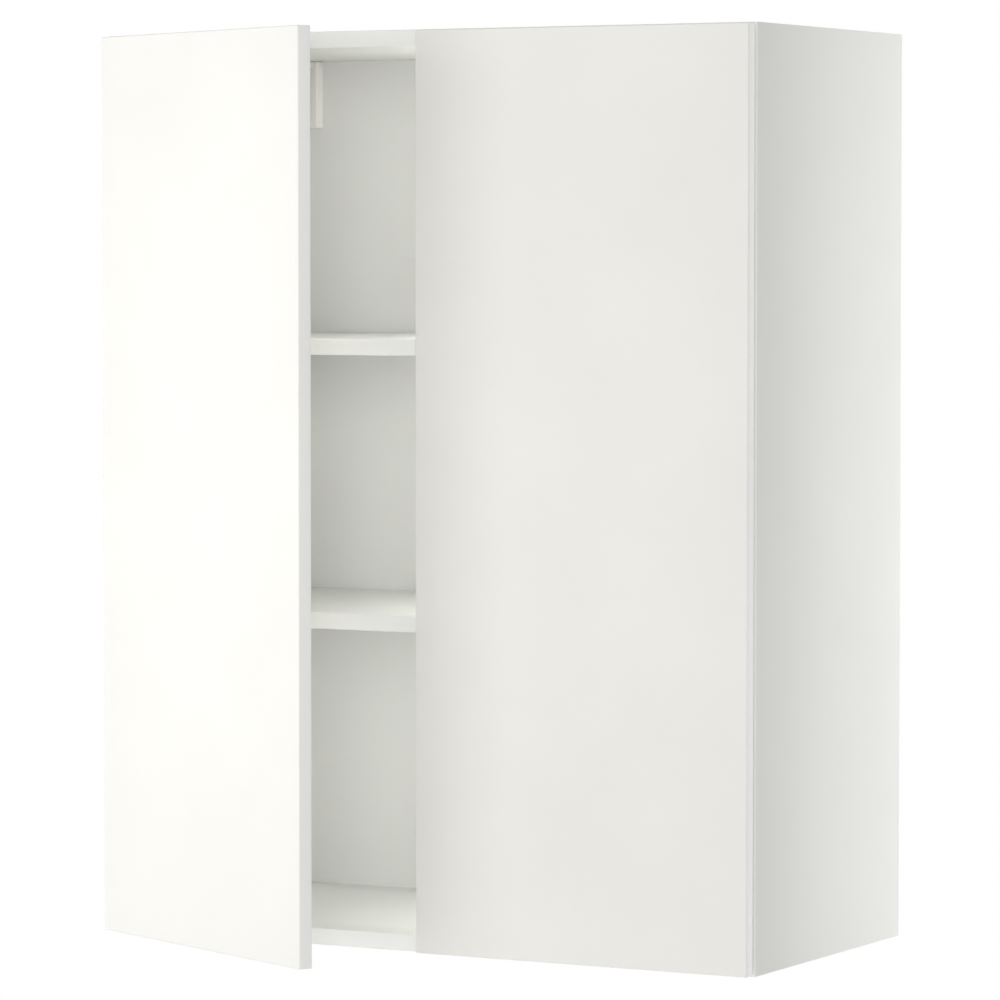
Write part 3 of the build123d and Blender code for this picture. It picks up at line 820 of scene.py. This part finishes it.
class CABINET_OT_bracket_covers(bpy.types.Operator):
    """Builds the moulded covers of the suspension fittings"""

    bl_idname = "cabinet.bracket_covers"
    bl_label = "Fitting covers"

    def execute(self, context):
        sizes = context.scene.cabinet_sizes
        for side, sign in (("left", -1), ("right", 1)):
            node = side + "_bracket_cover"
            low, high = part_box(node)
            outer = high[0] if sign < 0 else low[0]
            cover = add_block(node + "_shell", low, high)

            def near(value, target):
                return abs(value - target) < TOUCH

            def outside(a, b):
                front = near(a.y, low[1]) and near(b.y, low[1])
                free = near(a.x, outer) and near(b.x, outer)
                upright = near(a.x, b.x) and near(a.x, outer)
                across = near(a.z, b.z)
                return (front and (upright or across)) or (free and across and not front)

            select_edges(cover, outside)
            bpy.ops.mesh.bevel(offset=sizes.cover_radius, segments=5, profile=0.5, affect="EDGES")
            select_faces(cover, lambda c, n: n.y > 0.99 or n.x * sign > 0.99)
            bpy.ops.mesh.delete(type="FACE")
            select_faces(cover, lambda c, n: n.y < -0.99)
            bpy.ops.mesh.inset(thickness=sizes.cover_border)
            bpy.ops.mesh.inset(thickness=0.0006, depth=-sizes.cover_step)
            bpy.ops.object.mode_set(mode="OBJECT")
            wall = cover.modifiers.new("wall", "SOLIDIFY")
            wall.thickness = sizes.cover_wall
            wall.offset = -1
            pick(cover)
            bpy.ops.object.modifier_apply(modifier=wall.name)
            smooth(cover)
            paint(cover, finish_of("plastic"))
            finish_piece(cover, "carcass", PLASTIC_SLOT, node)
        return {"FINISHED"}


class CABINET_OT_cam_caps(bpy.types.Operator):
    """Builds the domed caps over the cam locks"""

    bl_idname = "cabinet.cam_caps"
    bl_label = "Cam caps"

    def execute(self, context):
        sizes = context.scene.cabinet_sizes
        boxes = solid_boxes("cam_caps")
        low, high = boxes[0]
        face = high.z - sizes.cap_height
        cap = add_bar(2, face, high.z, (low + high) / 2, (high.x - low.x) / 2, vertices=48)
        cap.name = "cam_caps_moulded"
        select_faces(cap, lambda c, n: n.z > 0.99)
        bpy.ops.mesh.inset(thickness=sizes.cap_rim)
        bpy.ops.mesh.inset(thickness=0.0004, depth=-sizes.cap_dish)
        top = high.z - TOUCH
        outside = sizes.cap_rim
        select_edges(cap, lambda a, b: min(a.z, b.z) > top and (a - b).length < outside)
        bpy.ops.mesh.bevel(offset=sizes.cap_edge, segments=3, profile=0.5, affect="EDGES")
        select_faces(cap, lambda c, n: n.z < -0.99)
        bpy.ops.mesh.inset(thickness=0.0011)
        bpy.ops.mesh.extrude_region_move(TRANSFORM_OT_translate={"value": (0, 0, -0.0012)})
        bpy.ops.object.mode_set(mode="OBJECT")
        caps = [cap]
        for other_low, _ in boxes[1:]:
            copy = cap.copy()
            copy.data = cap.data.copy()
            context.collection.objects.link(copy)
            copy.location = other_low - low
            caps.append(settle(copy))
        clear_selection()
        for piece in caps:
            piece.select_set(True)
        context.view_layer.objects.active = cap
        bpy.ops.object.join()
        smooth(cap)
        paint(cap, finish_of("plastic"))
        finish_piece(cap, "carcass", PLASTIC_SLOT, "cam_caps")
        return {"FINISHED"}


class CABINET_OT_fittings(bpy.types.Operator):
    """Gives the hinges, screws, pins, brackets, cams and dowels their finishes"""

    bl_idname = "cabinet.fittings"
    bl_label = "Fittings"

    def execute(self, context):
        kinds = {
            "hinge": ["hinge_plates", "hinge_arms"],
            "screw": [
                "hinge_plate_screws",
                "hinge_arm_screws",
                "hinge_arm_pins",
                "bracket_screws",
                "cam_bolts",
            ],
            "bracket": ["left_suspension_bracket", "right_suspension_bracket"],
            "cast": ["cam_locks"],
            "pin": ["upper_shelf_pins", "lower_shelf_pins"],
            "beech": ["dowels"],
        }
        for side in SIDES:
            kinds["hinge"] += [side + "_hinge_cups", side + "_hinge_links"]
            kinds["screw"] += [side + "_cup_pins", side + "_cup_screws"]
            kinds.setdefault("bumper", []).append(side + "_door_bumpers")
        for kind, group in kinds.items():
            for node in group:
                paint(nodes[node], finish_of(kind))
        return {"FINISHED"}


class CABINET_OT_stage(bpy.types.Operator):
    """Sets up the pale floor, the soft lights and the camera"""

    bl_idname = "cabinet.stage"
    bl_label = "Stage"

    def execute(self, context):
        stage = context.scene.cabinet_stage
        self.floor(stage)
        self.sky(context, stage)
        self.lights(stage)
        turn = (math.radians(90) + stage.camera_pitch, 0, stage.camera_yaw)
        bpy.ops.object.camera_add(location=stage.camera_place, rotation=turn)
        camera = context.object
        camera.data.lens = stage.lens
        camera.data.sensor_width = 36
        camera.data.clip_end = 200
        context.scene.camera = camera
        context.scene.view_settings.view_transform = "Standard"
        return {"FINISHED"}

    def floor(self, stage):
        """A plain pale floor that whitens towards its rim."""
        clear_selection()
        radius = stage.floor_size / 2
        place = (0, 0, -stage.floor_drop)
        bpy.ops.mesh.primitive_circle_add(vertices=128, radius=radius, fill_type="NGON", location=place)
        floor = bpy.context.object
        floor.name = "floor"
        pale = Finish("pale_floor", (0.87, 0.87, 0.86), 0.9)
        pale.set_roughness(pale.spread(pale.noise(3.0), 0.85, 0.95))
        reach = pale.tree.nodes.new("ShaderNodeVectorMath")
        reach.operation = "LENGTH"
        pale.tree.links.new(pale.place, reach.inputs[0])
        glow = pale.tree.nodes.new("ShaderNodeMapRange")
        glow.interpolation_type = "SMOOTHSTEP"
        glow.inputs["From Min"].default_value = stage.floor_size * 0.12
        glow.inputs["From Max"].default_value = stage.floor_size * 0.46
        glow.inputs["To Max"].default_value = 0.75
        pale.tree.links.new(reach.outputs["Value"], glow.inputs["Value"])
        pale.tree.links.new(glow.outputs["Result"], pale.shader.inputs["Emission Strength"])
        pale.shader.inputs["Emission Color"].default_value = (1, 1, 1, 1)
        paint(floor, pale.material)

    def lights(self, stage):
        """Large soft lights round the cabinet and a small one in each compartment."""
        low, high = cad_box
        middle = Vector(((low[0] + high[0]) / 2, -0.2, (low[2] + high[2]) / 2))
        side = Vector((high[0], -0.03, middle.z))
        doors = Vector((-0.15, -0.43, middle.z))
        for name, place, target, width, height, power in (
            ("key", self.around(middle, -75, 4, 3.0), middle, 1.5, 2.6, stage.key_power),
            ("left", doors + Vector((-0.95, -1.97, 0)), doors, 1.0, 2.0, stage.left_power),
            ("near", doors + Vector((-1.55, -0.87, 0)), doors, 1.0, 2.0, stage.near_power),
            ("front", self.around(middle, 28, 6, 6.0), middle, 1.6, 1.6, stage.front_power),
            ("side", side + Vector((0.9, 0.33, 0)), side, 0.5, 2.2, stage.side_power),
            ("rear", side + Vector((0.22, 0.25, 0)), side, 0.2, 1.8, stage.rear_power),
            ("top", self.around(middle, 10, 70, 4.0), middle, 2.0, 2.0, stage.top_power),
            ("low", self.around(middle, 10, -50, 2.6), middle, 1.4, 1.4, stage.low_power),
        ):
            self.lamp(name, place, target, (width, height), power)
        levels = [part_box("bottom_panel")[1][2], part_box("lower_shelf")[0][2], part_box("lower_shelf")[1][2]]
        levels += [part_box("upper_shelf")[0][2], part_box("upper_shelf")[1][2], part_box("top_panel")[0][2]]
        for below, above in zip(levels[::2], levels[1::2]):
            place = Vector((0.13, -0.205, (below + above) / 2))
            bpy.ops.object.light_add(type="POINT", location=place)
            glow = bpy.context.object
            glow.data.shadow_soft_size = 0.09
            glow.data.energy = stage.inner_power
            glow.visible_camera = False
            glow.visible_glossy = False

    def around(self, middle, yaw, elevation, distance):
        """A point round the cabinet, yaw 0 straight in front, in degrees."""
        yaw, elevation = math.radians(yaw), math.radians(elevation)
        flat = math.cos(elevation)
        way = Vector((math.sin(yaw) * flat, -math.cos(yaw) * flat, math.sin(elevation)))
        return middle + way * distance

    def sky(self, context, stage):
        """An even white surround that looks white and lights softly."""
        world = bpy.data.worlds.new("studio")
        context.scene.world = world
        world.use_nodes = True
        tree = world.node_tree
        background = tree.nodes["Background"]
        background.inputs["Color"].default_value = (1, 1, 1, 1)
        path = tree.nodes.new("ShaderNodeLightPath")
        strength = tree.nodes.new("ShaderNodeMapRange")
        strength.inputs["To Min"].default_value = stage.sky
        strength.inputs["To Max"].default_value = 1.0
        tree.links.new(path.outputs["Is Camera Ray"], strength.inputs["Value"])
        tree.links.new(strength.outputs["Result"], background.inputs["Strength"])

    def lamp(self, name, place, target, size, power):
        """A rectangular soft light aimed at a point."""
        turn = (target - place).to_track_quat("-Z", "Y").to_euler()
        bpy.ops.object.light_add(type="AREA", location=place, rotation=turn)
        light = bpy.context.object
        light.name = name
        light.data.shape = "RECTANGLE"
        light.data.size, light.data.size_y = size
        light.data.energy = power
        light.visible_camera = False


STEPS = (
    CABINET_OT_side_panels,
    CABINET_OT_end_panels,
    CABINET_OT_back,
    CABINET_OT_shelves,
    CABINET_OT_edge_bands,
    CABINET_OT_doors,
    CABINET_OT_bracket_covers,
    CABINET_OT_cam_caps,
    CABINET_OT_fittings,
    CABINET_OT_stage,
)
GROUPS = {
    "cabinet_sizes": CABINET_PG_sizes,
    "cabinet_finishes": CABINET_PG_finishes,
    "cabinet_stage": CABINET_PG_stage,
}


class CABINET_PT_panel(bpy.types.Panel):
    """Lists the cabinet's pieces and the values behind them"""

    bl_idname = "CABINET_PT_panel"
    bl_label = "Cabinet"
    bl_space_type = "VIEW_3D"
    bl_region_type = "UI"
    bl_category = "Cabinet"

    def draw(self, context):
        for step in STEPS:
            self.layout.operator(step.bl_idname)
        for name, group in GROUPS.items():
            box = self.layout.box()
            for value in group.__annotations__:
                box.prop(getattr(context.scene, name), value)


def register():
    for group in GROUPS.values():
        bpy.utils.register_class(group)
    for name, group in GROUPS.items():
        setattr(bpy.types.Scene, name, PointerProperty(type=group))
    for step in STEPS + (CABINET_PT_panel,):
        bpy.utils.register_class(step)


def unregister():
    for step in reversed(STEPS + (CABINET_PT_panel,)):
        bpy.utils.unregister_class(step)
    for name in GROUPS:
        delattr(bpy.types.Scene, name)
    for group in reversed(GROUPS.values()):
        bpy.utils.unregister_class(group)


def main():
    register()
    for step in STEPS:
        family, name = step.bl_idname.split(".")
        getattr(getattr(bpy.ops, family), name)()


if __name__ == "__main__":
    main()
